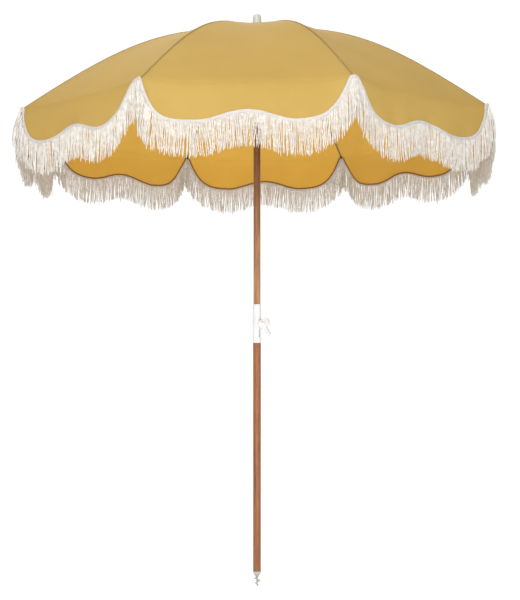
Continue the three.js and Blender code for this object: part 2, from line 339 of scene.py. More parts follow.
def canvas(name, dark, light, glow):
    """Woven canvas with slubs and faint uneven dye; some light comes through it."""
    mat, tree, shader = new_material(name, light, 0.86, Sheen_Weight=0.04, Sheen_Roughness=0.5,
                                     Specular_IOR_Level=0.15)
    place = node(tree, "ShaderNodeTexCoord")
    cloud = node(tree, "ShaderNodeTexNoise", Scale=5.0, Detail=4.0, Roughness=0.6)
    tree.links.new(place.outputs["Object"], cloud.inputs["Vector"])
    dye = ramp(tree, cloud.outputs["Fac"], [(0.3, dark), (0.7, light)])
    slub = node(tree, "ShaderNodeTexNoise", Scale=900.0, Detail=2.0)
    tree.links.new(place.outputs["Object"], slub.inputs["Vector"])
    fleck = node(tree, "ShaderNodeMix", data_type="RGBA", blend_type="MULTIPLY")
    fleck.inputs["Factor"].default_value = 0.12
    tree.links.new(dye, fleck.inputs["A"])
    tree.links.new(slub.outputs["Fac"], fleck.inputs["B"])
    tree.links.new(fleck.outputs["Result"], shader.inputs["Base Color"])
    bump(tree, shader, weave(tree, 420.0), 0.35, 0.0003)
    through = node(tree, "ShaderNodeBsdfTranslucent", Color=(*glow, 1))
    mix = node(tree, "ShaderNodeMixShader", Fac=0.42)
    tree.links.new(shader.outputs["BSDF"], mix.inputs[1])
    tree.links.new(through.outputs["BSDF"], mix.inputs[2])
    tree.links.new(mix.outputs["Shader"], tree.nodes["Material Output"].inputs["Surface"])
    return mat


def cotton(name, shade, light, scale):
    """Twisted cotton: fine plies run round each cord."""
    mat, tree, shader = new_material(name, light, 0.9, Sheen_Weight=0.25, Sheen_Roughness=0.4,
                                     Specular_IOR_Level=0.2)
    place = node(tree, "ShaderNodeTexCoord")
    cloud = node(tree, "ShaderNodeTexNoise", Scale=60.0, Detail=3.0, Roughness=0.6)
    tree.links.new(place.outputs["Object"], cloud.inputs["Vector"])
    uneven = ramp(tree, cloud.outputs["Fac"], [(0.25, shade), (0.65, light)])
    tree.links.new(uneven, shader.inputs["Base Color"])
    uv = node(tree, "ShaderNodeUVMap")
    ply = node(tree, "ShaderNodeTexWave", wave_type="BANDS", bands_direction="DIAGONAL", Scale=scale,
               Distortion=0.6, Detail=1.0)
    tree.links.new(uv.outputs["UV"], ply.inputs["Vector"])
    bump(tree, shader, ply.outputs["Fac"], 0.5, 0.0004)
    return mat


def varnished_wood(name, dark, middle, light, heights):
    """Turned hardwood: grain drawn out along the pole, under a satin varnish.

    heights is (z, tone) pairs: the wood is darker where the tone is lower. On the upper pole this darkening is
    painted shade, the canopy's shadow on the pole.
    """
    mat, tree, shader = new_material(name, middle, 0.5, Coat_Weight=0.12, Coat_Roughness=0.25)
    place = node(tree, "ShaderNodeTexCoord")
    stretch = node(tree, "ShaderNodeMapping")
    stretch.inputs["Scale"].default_value = (1, 1, 0.045)
    tree.links.new(place.outputs["Object"], stretch.inputs["Vector"])
    broad = node(tree, "ShaderNodeTexNoise", Scale=55.0, Detail=5.0, Roughness=0.55, Distortion=0.8)
    fine = node(tree, "ShaderNodeTexNoise", Scale=420.0, Detail=4.0, Roughness=0.7)
    for texture in (broad, fine):
        tree.links.new(stretch.outputs["Vector"], texture.inputs["Vector"])
    body = ramp(tree, broad.outputs["Fac"], [(0.32, dark), (0.5, middle), (0.66, light)])
    pores = ramp(tree, fine.outputs["Fac"], [(0.38, (0.45, 0.38, 0.34)), (0.55, (1, 1, 1))])
    grain = node(tree, "ShaderNodeMix", data_type="RGBA", blend_type="MULTIPLY")
    grain.inputs["Factor"].default_value = 0.6
    tree.links.new(body, grain.inputs["A"])
    tree.links.new(pores, grain.inputs["B"])
    apart = node(tree, "ShaderNodeSeparateXYZ")
    tree.links.new(place.outputs["Object"], apart.inputs["Vector"])
    span = node(tree, "ShaderNodeMapRange")
    span.inputs["From Max"].default_value = HEIGHT_RAMP_TOP
    tree.links.new(apart.outputs["Z"], span.inputs["Value"])
    # Darkening by height: on the upper pole this is painted shade
    height_darkening = ramp(tree, span.outputs["Result"], [(z / HEIGHT_RAMP_TOP, tone) for z, tone in heights])
    darkened = node(tree, "ShaderNodeMix", data_type="RGBA", blend_type="MULTIPLY")
    darkened.inputs["Factor"].default_value = 1.0
    tree.links.new(grain.outputs["Result"], darkened.inputs["A"])
    tree.links.new(height_darkening, darkened.inputs["B"])
    tree.links.new(darkened.outputs["Result"], shader.inputs["Base Color"])
    bump(tree, shader, fine.outputs["Fac"], 0.12, 0.0004)
    return mat


def moulded(name, colour, roughness=0.34):
    """Moulded plastic with a faint texture and uneven gloss."""
    mat, tree, shader = new_material(name, colour, roughness, Specular_IOR_Level=0.5)
    place = node(tree, "ShaderNodeTexCoord")
    orange_peel = node(tree, "ShaderNodeTexNoise", Scale=700.0, Detail=2.0)
    tree.links.new(place.outputs["Object"], orange_peel.inputs["Vector"])
    smear = node(tree, "ShaderNodeTexNoise", Scale=35.0, Detail=3.0)
    tree.links.new(place.outputs["Object"], smear.inputs["Vector"])
    tone = tuple(0.94 * c for c in colour)
    uneven = ramp(tree, smear.outputs["Fac"], [(0.3, tone), (0.7, colour)])
    tree.links.new(uneven, shader.inputs["Base Color"])
    span = node(tree, "ShaderNodeMapRange")
    span.inputs["To Min"].default_value = roughness - 0.06
    span.inputs["To Max"].default_value = roughness + 0.1
    tree.links.new(smear.outputs["Fac"], span.inputs["Value"])
    tree.links.new(span.outputs["Result"], shader.inputs["Roughness"])
    bump(tree, shader, orange_peel.outputs["Fac"], 0.08, 0.0002)
    return mat


def plated(name, colour, roughness):
    """Zinc-plated steel with dull patches."""
    mat, tree, shader = new_material(name, colour, roughness, Metallic=1.0)
    place = node(tree, "ShaderNodeTexCoord")
    dull = node(tree, "ShaderNodeTexNoise", Scale=80.0, Detail=5.0, Roughness=0.65)
    tree.links.new(place.outputs["Object"], dull.inputs["Vector"])
    dark = tuple(0.6 * c for c in colour)
    patches = ramp(tree, dull.outputs["Fac"], [(0.35, dark), (0.6, colour)])
    tree.links.new(patches, shader.inputs["Base Color"])
    span = node(tree, "ShaderNodeMapRange")
    span.inputs["To Min"].default_value = roughness - 0.08
    span.inputs["To Max"].default_value = roughness + 0.2
    tree.links.new(dull.outputs["Fac"], span.inputs["Value"])
    tree.links.new(span.outputs["Result"], shader.inputs["Roughness"])
    return mat


CANVAS = canvas("canvas", (0.515, 0.398, 0.124), (0.56, 0.437, 0.142), (0.80, 0.58, 0.13))
# The inside copy of the canvas is lighter and more golden than the outside: painted light for the glow under the
# canopy.
CANVAS_INSIDE_PAINTED_GLOW = canvas("canvas_inside", (0.75, 0.485, 0.108), (0.82, 0.535, 0.124), (0.80, 0.56, 0.125))
SEAM = canvas("canvas_seam", (0.42, 0.315, 0.09), (0.47, 0.365, 0.115), (0.5, 0.3, 0.05))
BINDING = canvas("hem_binding", (0.38, 0.17, 0.045), (0.46, 0.22, 0.06), (0.3, 0.12, 0.02))
THREAD = cotton("thread", (0.50, 0.33, 0.09), (0.60, 0.42, 0.13), 900.0)
BRAID = cotton("braid", (0.45, 0.42, 0.395), (0.54, 0.515, 0.485), 260.0)
CORD = cotton("fringe_cord", (0.54, 0.485, 0.42), (0.72, 0.695, 0.65), 420.0)
# The upper pole's height ramp is painted shade: it darkens the pole towards the canopy, as in the canopy's shadow.
WOOD_UPPER = varnished_wood("wood_upper", (0.29, 0.13, 0.048), (0.48, 0.25, 0.11), (0.60, 0.335, 0.155),
                            [(1.15, (1, 1, 1)), (1.5, (0.68, 0.6, 0.58)), (1.72, (0.4, 0.31, 0.31))])
# The lower pole's height ramp makes it a little darker towards the bottom.
WOOD_LOWER = varnished_wood("wood_lower", (0.17, 0.053, 0.012), (0.30, 0.102, 0.026), (0.37, 0.138, 0.038),
                            [(0.1, (0.9, 0.9, 0.9)), (0.5, (1, 1, 1))])
WHITE = moulded("white_plastic", (0.755, 0.765, 0.785))
# Grey of the painted shade that stands for the clamp's slot on the collar.
SHADED = moulded("slot_grey", (0.42, 0.42, 0.45), 0.5)
# The auger's white plastic is a darker copy of WHITE: painted shade.
AUGER_WHITE_PAINTED_SHADE = moulded("auger_plastic", (0.44, 0.425, 0.395), 0.42)
# The finial's white plastic is a darker copy of WHITE: painted shade.
FINIAL_WHITE_PAINTED_SHADE = moulded("finial_plastic", (0.52, 0.53, 0.49), 0.4)
STEEL = plated("zinc_steel", (0.36, 0.35, 0.34), 0.32)
DARK = moulded("dark_cap", (0.035, 0.03, 0.027), 0.45)


def dress(piece, material, body, slot, *nodes):
    """Gives a piece its material, if it has none yet, and its body; slot is not used. It stands for the CAD nodes.
    """
    if material is not None:
        piece.data.materials.clear()
        piece.data.materials.append(material)
    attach(piece, body)
    if nodes:
        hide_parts(*nodes)


# ---- Camera, light and floor ----------------------------------------------------------------------
CAMERA_AWAY = 5.70 * TIP_R
CAMERA_TURN = math.radians(2.2)
CAMERA_Z = TIP_Z - 1.0315 * TIP_R
CAMERA_SENSOR = 36          # mm, the picture's longer side
CAMERA_LENS = 80.31         # mm
CAMERA_SHIFT = (0.005, 0.111)

FLOOR_HALF = 30.0
FLOOR_Z = -2 * MM
WORLD_LIGHT = 0.5
# Name, place, width and power of each lamp; all face the canopy.
LIGHTS = [
    ("key", (-1.0, -5.2, 4.6), 3.0, 200),
    ("fill", (4.5, -3.4, 3.2), 3.5, 20),
    ("low", (0.3, -5.6, 0.7), 3.0, 150),
    ("back", (-0.8, 3.6, 5.4), 3.4, 270),
]


def add_camera():
    data = bpy.data.cameras.new("camera")
    data.sensor_width = CAMERA_SENSOR
    data.lens = CAMERA_LENS
    data.shift_x, data.shift_y = CAMERA_SHIFT
    camera = bpy.data.objects.new("camera", data)
    side, away = math.sin(CAMERA_TURN), math.cos(CAMERA_TURN)
    camera.location = (CAMERA_AWAY * side, -CAMERA_AWAY * away, CAMERA_Z)
    camera.rotation_euler = (math.pi / 2, 0, CAMERA_TURN)
    bpy.context.scene.collection.objects.link(camera)
    bpy.context.scene.camera = camera


def add_light(name, place, target, size, power):
    data = bpy.data.lights.new(name, "AREA")
    data.shape = "DISK"
    data.size = size
    data.energy = power
    lamp = bpy.data.objects.new(name, data)
    lamp.location = place
    away = np.array(place, float) - np.array(target, float)
    turn = math.atan2(away[0], -away[1])
    tilt = math.atan2(math.hypot(away[0], away[1]), away[2])
    lamp.rotation_euler = (tilt, 0, turn)
    bpy.context.scene.collection.objects.link(lamp)


def add_stage():
    """A white studio: the camera sees the walls white, and they light the object a little less than that."""
    world = bpy.data.worlds.new("studio")
    world.use_nodes = True
    tree = world.node_tree
    light = tree.nodes["Background"]
    light.inputs["Color"].default_value = (1, 1, 1, 1)
    light.inputs["Strength"].default_value = WORLD_LIGHT
    wall = node(tree, "ShaderNodeBackground", Color=(1, 1, 1, 1), Strength=1.05)
    mix = node(tree, "ShaderNodeMixShader")
    seen = node(tree, "ShaderNodeLightPath")
    tree.links.new(seen.outputs["Is Camera Ray"], mix.inputs["Fac"])
    tree.links.new(light.outputs["Background"], mix.inputs[1])
    tree.links.new(wall.outputs["Background"], mix.inputs[2])
    tree.links.new(mix.outputs["Shader"], tree.nodes["World Output"].inputs["Surface"])
    bpy.context.scene.world = world
    bpy.context.scene.view_settings.view_transform = "Standard"
    canopy = (0, 0, TIP_Z)
    for name, place, size, power in LIGHTS:
        add_light(name, place, canopy, size, power)
    square = np.array([(-1, -1, 0), (1, -1, 0), (1, 1, 0), (-1, 1, 0)])
    floor = mesh_object("floor", square * FLOOR_HALF + [0, 0, FLOOR_Z], [[0, 1, 2, 3]])
    mat, _, shader = new_material("floor", (0.12, 0.12, 0.12), 0.9, Specular_IOR_Level=0.1)
    shader.inputs["Emission Color"].default_value = (1, 1, 1, 1)
    shader.inputs["Emission Strength"].default_value = 0.98
    floor.data.materials.append(mat)


# ---- Canopy and skirt -----------------------------------------------------------------------------
class Bay:
    """The cloth between two neighbouring ribs. t runs from 0 at the first rib to 1 at the second."""

    def __init__(self, number):
        self.number = number
        self.ends = [self.heading(number), self.heading(number + 1)]
        middle = self.ends[0] + HALF
        self.out = np.array([math.cos(middle), math.sin(middle), 0.0])
        self.phase = np.random.default_rng(40 + number).uniform(0, math.tau, 6)
        self.depth = FAR_LENGTH if number in FAR_BAYS else 1.0

    @staticmethod
    def heading(number):
        place = JOINTS[f"skirt_swing_{number % RIBS + 1}"]["pos_m"]
        return math.atan2(place[1], place[0])

    def rib_dir(self, end):
        return np.array([math.cos(self.ends[end]), math.sin(self.ends[end]), 0.0])

    def ripple(self, t, deep):
        """Soft waves of the hanging cloth, none at the ribs or along the top edge."""
        p = self.phase
        wave = 0.55 * np.sin(math.tau * 2.2 * t + p[0]) + 0.3 * np.sin(math.tau * 4.1 * t + p[1])
        wave += 0.15 * np.sin(math.tau * 7.3 * t + p[2])
        return 7 * MM * wave * smooth(deep, 0, 0.13) * np.sin(math.pi * t) ** 0.5

    def pucker(self, t, r):
        """Faint tension lines that run from the rib tips into the bay, and pull along the seams."""
        p = self.phase
        near = np.minimum(t, 1 - t)
        reach = smooth(r, 0.55 * TIP_R, TIP_R)
        fan = np.sin(near * 38 + p[3]) * np.exp(-near / 0.12) * np.sin(math.pi * np.minimum(near * 6, 1))
        slow = np.sin(math.tau * (1.3 * t + 0.8 * r / TIP_R) + p[4]) * np.sin(math.pi * t)
        seam = 0.35 * np.sin(r * 260 + p[5]) * np.exp(-near * r / (9 * MM)) * smooth(near, 0, 0.01)
        return MM * (1.5 * reach * fan + 1.3 * slow * np.sin(math.pi * r / TIP_R) + seam)

    def chord_point(self, t, r):
        a, b = self.rib_dir(0), self.rib_dir(1)
        return r[..., None] * ((1 - t)[..., None] * a + t[..., None] * b)

    def edge_roll(self, t, r):
        """The cloth rolls over into the skirt between the ribs, where nothing holds it up."""
        between = smooth(np.minimum(t, 1 - t), 0.0, 0.22)
        return EDGE_ROUND * between * np.clip((r / TIP_R - 0.78) / 0.22, 0, 1) ** 2.4

    def panel(self, t, r):
        point = self.chord_point(t, r)
        dip = 4 * SAG * t * (1 - t) * np.sin(math.pi * r / TIP_R) ** 2
        point[..., 2] = dome_z(r) - dip - self.edge_roll(t, r) + self.pucker(t, r)
        return point

    def skirt(self, t, deep):
        """A point of the hanging skirt, deep below the rib tips."""
        edge = np.full_like(t, TIP_R)
        point = self.chord_point(t, edge)
        below = np.maximum(deep - self.edge_roll(t, edge), 0)
        stand = HEM_LEAN * (1 - np.exp(-below / (38 * MM))) * smooth(np.minimum(t, 1 - t), 0, 0.05)
        point += (stand + self.ripple(t, below))[..., None] * self.out
        point[..., 2] = TIP_Z - deep + self.pucker(t, edge) * np.exp(-below / (30 * MM))
        return point

    def top(self, t):
        return self.edge_roll(t, np.full_like(t, TIP_R))


BAYS = [Bay(k) for k in range(RIBS)]


def surface_normals(make, u, v, du, dv, up):
    """Normals of the surface make(u, v), by small steps, facing the way of up."""
    across = make(u + du, v) - make(u - du, v)
    along = make(u, v + dv) - make(u, v - dv)
    n = np.cross(across, along)
    n /= np.linalg.norm(n, axis=-1, keepdims=True)
    return np.where((n @ up)[..., None] < 0, -n, n)


def blended(one, other, share):
    """Unit normals between two sets of them, with share of the other."""
    mixed = one * (1 - share) + other * share
    return mixed / np.linalg.norm(mixed, axis=-1, keepdims=True)


def off_ribs(t):
    """t kept far enough from both ribs for steps to either side of it."""
    return np.clip(t, 0.004, 0.996)


def halves(bay):
    """The two halves of a bay: (rib number, name of the side, start t, end t)."""
    first, second = bay.number % RIBS + 1, (bay.number + 1) % RIBS + 1
    return [(first, "a", 0.0, 0.5), (second, "b", 1.0, 0.5)]


def chord_dir(bay, side):
    """Unit vector from the half's own rib tip towards the middle of its bay's edge."""
    a, b = bay.rib_dir(0), bay.rib_dir(1)
    way = b - a if side == "a" else a - b
    return way / np.linalg.norm(way)


def across_rib(rib):
    heading = Bay.heading(rib - 1)
    return (-math.sin(heading), math.cos(heading), 0.0)


def rib_tip(rib):
    heading = Bay.heading(rib - 1)
    return (TIP_R * math.cos(heading), TIP_R * math.sin(heading), TIP_Z)


PANEL_STRIPS = 12           # of a panel half
BEHAVIOUR = frame["record"]["behaviour"]


def add_panel(bay, rib, side, start, end):
    """Half of a panel, as strips that meet edge to edge at rest."""
    edges = np.linspace(CLOTH_INNER, TIP_R, PANEL_STRIPS + 1)
    for number, (low, high) in enumerate(zip(edges, edges[1:])):
        add_strip(bay, rib, start, end, low, high, f"canopy_{rib}{side}_{number}")


def add_strip(bay, rib, start, end, low, high, name):
    rows, cols = 9, 34
    r = np.linspace(low, high, rows)
    t = start + (end - start) * np.linspace(0, 1, cols) ** 1.25
    R, T = np.meshgrid(r, t, indexing="ij")
    inside = off_ribs(T)
    normals = surface_normals(bay.panel, inside, R, 0.002, 0.5 * MM, Z_UP)
    rim = surface_normals(bay.skirt, inside, np.full_like(R, 4 * MM), 0.002, 1 * MM, bay.out)
    normals = blended(normals, rim, smooth(R, 0.975 * TIP_R, TIP_R)[..., None] * 0.5)
    uvs = np.stack([(T - start) * CHORD * R / TIP_R, R * ARC_PER_RADIUS], -1)
    piece = shell(name, bay.panel(T, R), normals, uvs)
    dress(piece, None, f"rib_{rib}", "canopy_cloth", f"canopy_{rib}")
    across_rib(rib)
    rib_tip(rib)
    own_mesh(piece)


SEAM_HALF = 4.5 * MM
STITCH_PITCH = 7 * MM
STITCH_LENGTH = 4.4 * MM
THREAD_RAD = 0.28 * MM


def add_seam(rib):
    """The flat-felled seam over a rib, and its two rows of stitches."""
    stations = np.linspace(26 * MM, TIP_R - 2 * MM, 110)
    line = np.stack([stations, 0 * stations, dome_z(stations) + 0.15 * MM], -1)
    outline = np.array([(-1, -0.4), (-0.96, 0.35), (-0.5, 0.55), (0.5, 0.55), (0.96, 0.35), (1, -0.4)])
    outline = outline * [SEAM_HALF, 1 * MM]
    strip = sweep(f"seam_{rib}", in_rib(rib, line), outline)
    dress(strip, SEAM, f"rib_{rib}", "canopy_cloth")
    length = arc_length(TIP_R)
    starts = np.interp(np.arange(8, int(length / STITCH_PITCH) - 1) * STITCH_PITCH,
                       np.linspace(0, length, 200), np.linspace(0, TIP_R, 200))
    share = np.linspace(0, 1, 5)
    r = starts[:, None] + STITCH_LENGTH * share
    lift = (0.55 + 0.35 * np.sin(share * math.pi)) * MM
    ring = np.array([(0, 0, 1), (0, 1, 0), (0, 0, -1), (0, -1, 0)]) * THREAD_RAD
    for row, across in enumerate((-3.1 * MM, 3.1 * MM)):
        stitches = np.stack([r, np.full_like(r, across), dome_z(r) + lift], -1)
        verts, faces = [], []
        for stitch in stitches:
            tube = stitch[:, None] + ring
            faces += tube_faces(len(stitch), len(ring), len(verts))
            verts += tube.reshape(-1, 3).tolist()
        piece = mesh_object(f"stitches_{rib}_{row}", in_rib(rib, verts), faces)
        tidy_normals(piece)
        dress(piece, THREAD, f"rib_{rib}", "canopy_cloth")


def arc_length(r):
    stations = np.linspace(0, r, 200)
    return float(np.hypot(np.diff(stations), np.diff(dome_z(stations))).sum())


# ---- Hem, braid and cords -------------------------------------------------------------------------
BRAID_WIDTH = 15 * MM
BRAID_THICK = 2.0 * MM
BRAID_TWIST = 5.2 * MM      # from one turn of its raised cords to the next
BRAID_COVERS = 8 * MM       # of the braid's width lies over the cloth
ARCH_RISE = 6 * MM          # of the braid over a rib tip
ARCH_SPREAD = 0.03          # of that rise, as a share of the chord
CORD_LENGTH = 113 * MM
CORD_LONGER = 26 * MM       # more at a rib tip, where the cords of two bays crowd together
CORD_FLARE = 24 * MM        # how far they stand out there
CORD_SPACING = 3.3 * MM
CORD_RAD = 2.0 * MM

# The braid arches a little differently over each rib tip: (shift, cusp) for hem_drop, by bay and side.
ARCHES = {(7, "a"): (0.0, 0.054), (7, "b"): (0.02, 0.07), (0, "a"): (0.024, 0.07), (6, "b"): (0.045, 0.095)}
PLAIN_ARCH = (0.016, 0.066)
SKEW = {0: -0.045}          # how far a bay's middle crest lies from the middle, as a share of the chord
HEM_STEPS = 4000            # along the half chord, to measure the hem
HEM_POINTS = 900            # evenly spaced along the hem


class Hem:
    """The hem of half a bay, by arc length from the rib tip. Its points are (along the chord, depth).

    width is how far the half reaches along the chord, and depth scales how deep it hangs.
    """

    def __init__(self, shift, cusp, depth, width):
        t = np.linspace(0, 0.5, HEM_STEPS)
        arch = ARCH_RISE * np.exp(-(t / ARCH_SPREAD) ** 2)
        line = np.stack([t * width * 2, hem_drop(t, shift, cusp) * depth - arch], -1)
        length = np.concatenate([[0], np.cumsum(np.hypot(*np.diff(line, axis=0).T))])
        even = np.linspace(0, length[-1], HEM_POINTS)
        self.length = float(length[-1])
        self.line = np.stack([np.interp(even, length, line[:, k]) for k in (0, 1)], -1)

    def below(self, share, distance):
        """Points below the hem by a distance square to it, kept on this side of the rib."""
        share, distance = np.broadcast_arrays(np.asarray(share, float), np.asarray(distance, float))
        index = share * (len(self.line) - 1)
        base = np.arange(len(self.line))
        slope = np.gradient(self.line, axis=0)
        place = np.stack([np.interp(index, base, self.line[:, k]) for k in (0, 1)], -1)
        way = np.stack([np.interp(index, base, slope[:, k]) for k in (0, 1)], -1)
        way /= np.linalg.norm(way, axis=-1, keepdims=True)
        place[..., 0] -= way[..., 1] * distance
        place[..., 1] += way[..., 0] * distance
        crossed = np.minimum(place[..., 0], 0)
        place[..., 1] -= crossed * 0.6
        place[..., 0] = np.maximum(place[..., 0], 0)
        return place


def crowd(along):
    """1 at a rib tip, and nothing a hand's width along the chord from it."""
    return np.exp(-(along / (42 * MM)) ** 2)


def on_skirt(bay, side, place, stand):
    """A point of the skirt at place = (along the chord, depth) of one half, standing out by a distance."""
    share = np.maximum(place[..., 0], 0) / CHORD
    t = share if side == "a" else 1 - share
    point = bay.skirt(t, place[..., 1])
    near = crowd(place[..., 0])[..., None]
    way = bay.out * (1 - near) + bay.rib_dir(side == "b") * near
    return point + np.broadcast_to(stand, share.shape)[..., None] * way


def add_valance(bay, rib, side, hem):
    rows, cols = 18, 90
    bottom = hem.below(np.linspace(0, 1, cols), BRAID_COVERS)
    a = bottom[:, 0]
    t = a / CHORD if side == "a" else 1 - a / CHORD
    top = bay.top(t)
    down = np.linspace(0, 1, rows)[:, None] ** 1.2
    deep = top[None] + (bottom[None, :, 1] - top[None]) * down
    T = np.repeat(t[None], rows, 0)
    inside = off_ribs(T)
    normals = surface_normals(bay.skirt, inside, deep, 0.002, 1 * MM, bay.out)
    panel = surface_normals(bay.panel, inside, np.full_like(T, TIP_R - 1 * MM), 0.002, 0.5 * MM, Z_UP)
    normals = blended(normals, panel, (1 - smooth(down, 0.0, 0.12))[..., None] * 0.5)
    uvs = np.stack([T * CHORD, TIP_R * ARC_PER_RADIUS + deep], -1)
    piece = shell(f"valance_{rib}{side}", bay.skirt(T, deep), normals, uvs)
    dress(piece, None, f"skirt_{rib}", "canopy_cloth", f"valance_{rib}")
    fold_skirt(piece, bay, rib, side)
    return piece


def fold_skirt(piece, bay, rib, side):
    tuple(chord_dir(bay, side))
    rib_tip(rib)
    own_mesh(piece)


def band(name, bay, side, hem, steps, distances, stands):
    """A closed band along the hem; its section is points (distance below the hem, stand)."""
    shares = np.linspace(0, 1, steps)
    points = on_skirt(bay, side, hem.below(shares[:, None], distances[None]), stands)
    along, over = np.meshgrid(shares * hem.length, distances, indexing="ij")
    uvs = np.stack([along, over], -1).reshape(-1, 2)
    piece = mesh_object(name, points.reshape(-1, 3), tube_faces(*points.shape[:2]), uvs=uvs)
    tidy_normals(piece, 70)
    return piece


def add_braid(bay, rib, side, hem):
    """The fringe's woven heading: four raised cords that twist along the hem."""
    steps = 380
    across = np.linspace(0, 1, 17)
    along = np.linspace(0, hem.length, steps)[:, None]
    lifted = across[None] * 4 + 0.35 * np.sin(along / BRAID_TWIST * math.tau)
    ridges = 0.5 + 0.5 * np.abs(np.sin(lifted * math.pi))
    front = 0.9 * MM + BRAID_THICK * ridges * np.sin(math.pi * np.clip(across, 0.03, 0.97)) ** 0.25
    from_tip = hem.line[np.linspace(0, HEM_POINTS - 1, steps).astype(int), 0]
    front = front + 5 * MM * crowd(from_tip)[:, None]
    distances = np.concatenate([across, across[::-1]]) * BRAID_WIDTH
    stands = np.concatenate([front, np.full((steps, len(across)), 0.35 * MM)], 1)
    piece = band(f"braid_{rib}{side}", bay, side, hem, steps, distances, stands)
    dress(piece, BRAID, f"skirt_{rib}", "fringe_cotton")
    fold_skirt(piece, bay, rib, side)
    return piece


def add_binding(bay, rib, side, hem):
    """The turned hem on the inside of the skirt."""
    distances = BRAID_COVERS + np.array([-5.5, -5.0, -0.4, 0.5, 0.5, -5.5]) * MM
    stands = np.array([-0.9, -1.3, -1.3, -0.9, -0.5, -0.5]) * MM
    piece = band(f"hem_{rib}{side}", bay, side, hem, 120, distances, stands)
    dress(piece, BINDING, f"skirt_{rib}", "canopy_cloth")
    fold_skirt(piece, bay, rib, side)
    return piece


def cord_mesh(lines, rad, twist_start):
    """Twisted two-ply tubes along lines (count x steps x 3), as (verts, faces, uvs)."""
    count, steps = lines.shape[:2]
    around = 6
    gaps = np.linalg.norm(np.diff(lines, axis=1), axis=2)
    length = np.concatenate([np.zeros((count, 1)), np.cumsum(gaps, axis=1)], axis=1)
    turn = np.arange(around) * math.tau / around
    twist = twist_start[:, None] + length / (15 * MM) * math.tau
    lobes = 0.82 + 0.26 * np.cos(2 * (turn[None, None] - twist[..., None]))
    taper = np.interp(np.linspace(0, 1, steps), [0, 0.03, 0.6, 0.93, 1], [0.75, 1, 0.95, 0.8, 0.4])
    size = rad[:, None, None] * lobes * taper[None, :, None]
    verts = lines[:, :, None] + np.stack([size * np.cos(turn), size * np.sin(turn), 0 * size], -1)
    start = (np.arange(count) * steps * around)[:, None]
    quads = (grid_quads(steps, around, wrap=True, flip=True)[None] + start[..., None]).reshape(-1, 4)
    first = np.arange(around)[None] + start
    last = np.arange(around)[None, ::-1] + (steps - 1) * around + start
    u = np.broadcast_to(turn * CORD_RAD, (count, steps, around))
    v = np.broadcast_to(length[..., None], (count, steps, around))
    uvs = np.stack([u, v], -1).reshape(-1, 2)
    return verts.reshape(-1, 3), quads.tolist() + first.tolist() + last.tolist(), uvs


def add_cords(bay, rib, side, hem):
    """The fringe's cords: they hang straight down from the braid, wavy and in loose groups."""
    rng = np.random.default_rng(700 + bay.number * 2 + (side == "b"))
    count = int(hem.length / CORD_SPACING)
    steps = 24
    share = np.clip((np.arange(count) + 0.5 + rng.normal(0, 0.12, count)) / count, 0.001, 0.999)
    root = hem.below(share, BRAID_WIDTH - 4 * MM)
    root[:, 0] = np.maximum(root[:, 0], rng.uniform(0.2, 3.0, count) * MM)
    near = crowd(root[:, 0])
    stand = rng.uniform(0.3, 5.0, count) * MM + 5 * MM * near
    length = bay.depth * (CORD_LENGTH + CORD_LONGER * near) * rng.normal(1, 0.04, count)
    phase = rng.uniform(0, math.tau, 4)
    metres = share * hem.length
    lean = 5 * np.sin(metres * 16 + phase[0]) + 4 * np.sin(metres * 45 + phase[1])
    lean = (lean + 3.4 * np.sin(metres * 120 + phase[2]) + rng.normal(0, 3.0, count)) * MM
    down = np.linspace(0, 1, steps)[None]
    waves = rng.uniform(0.7, 1.5, count)[:, None]
    wave = np.sin(math.tau * (down * waves) + rng.uniform(0, 6.3, count)[:, None])
    along = lean[:, None] * down ** 1.5 + rng.normal(0, 2.1, count)[:, None] * MM * wave * down ** 0.6
    over = rng.normal(0, 2.8, count)[:, None] * MM * down ** 1.4 + 1.2 * MM * wave * down
    flare = (CORD_FLARE * near * rng.uniform(0.25, 1.0, count))[:, None] * np.sin(down * 2.2)
    along = along - 5 * MM * near[:, None] * np.sin(down * 2.2)
    middle = hem.line[-1, 0] + 1.5 * MM
    along = np.clip(root[:, :1] + along, -9 * MM, middle) - root[:, :1]
    start = on_skirt(bay, side, root, stand)
    lines = start[:, None] + along[..., None] * chord_dir(bay, side) + over[..., None] * bay.out
    lines += flare[..., None] * bay.rib_dir(side == "b")
    lines[..., 2] -= down * length[:, None]
    rad = CORD_RAD * rng.uniform(0.86, 1.12, count)
    verts, faces, uvs = cord_mesh(lines, rad, rng.uniform(0, math.tau, count))
    piece = mesh_object(f"fringe_{rib}{side}", verts, faces, uvs=uvs)
    dress(piece, CORD, f"skirt_{rib}", "fringe_cotton", f"fringe_{rib}")
    fold_skirt(piece, bay, rib, side)
    return piece


def add_bay(bay):
    for rib, side, start, end in halves(bay):
        skew = SKEW.get(bay.number, 0.0) * (1 if side == "a" else -1)
        hem = Hem(*ARCHES.get((bay.number, side), PLAIN_ARCH), bay.depth, CHORD * (0.5 + skew))
        add_panel(bay, rib, side, start, end)
        valance = add_valance(bay, rib, side, hem)
        trims = [add(bay, rib, side, hem) for add in (add_binding, add_braid, add_cords)]


# ---- Ribs, with their plates and pins -------------------------------------------------------------
def in_rib(rib, points):
    """Turns points of a rib's own frame, +X along it, into the frame of the umbrella."""
    heading = Bay.heading(rib - 1)
    c, s = math.cos(heading), math.sin(heading)
    points = np.asarray(points, float)
    return np.stack([c * points[..., 0] - s * points[..., 1], s * points[..., 0] + c * points[..., 1],
                     points[..., 2]], -1)


